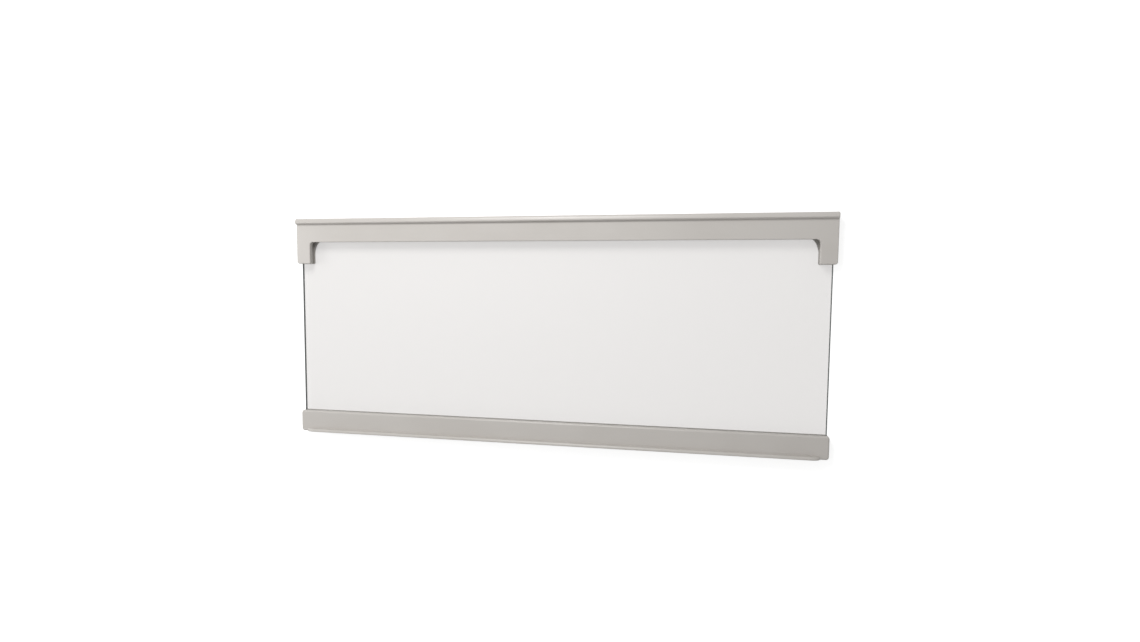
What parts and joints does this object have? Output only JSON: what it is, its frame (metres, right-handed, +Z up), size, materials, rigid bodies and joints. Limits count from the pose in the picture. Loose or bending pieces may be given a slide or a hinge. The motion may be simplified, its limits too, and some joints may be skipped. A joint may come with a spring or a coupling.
{
  "type": "fridge glass shelf",
  "caption": "Fridge shelf of clear toughened glass with a light grey plastic trim along the front, with a raised lip and short legs, and a rear trim with an upstand",
  "frame": {"origin": "middle of the underside of the shelf, on the plane it lies on", "axes": "+X across the fridge, +Y from the front trim to the rear trim, +Z up from the underside to the top face"},
  "size_m": [0.4804, 0.2006, 0.0152],
  "materials": {
    "clear_glass": "polished float glass, toughened, ground edge",
    "grey_plastic": "smooth satin moulding in warm light grey"
  },
  "bodies": {
    "root": {"glass_panel": "clear_glass", "front_trim": "grey_plastic", "rear_trim": "grey_plastic"}
  },
  "joints": []
}
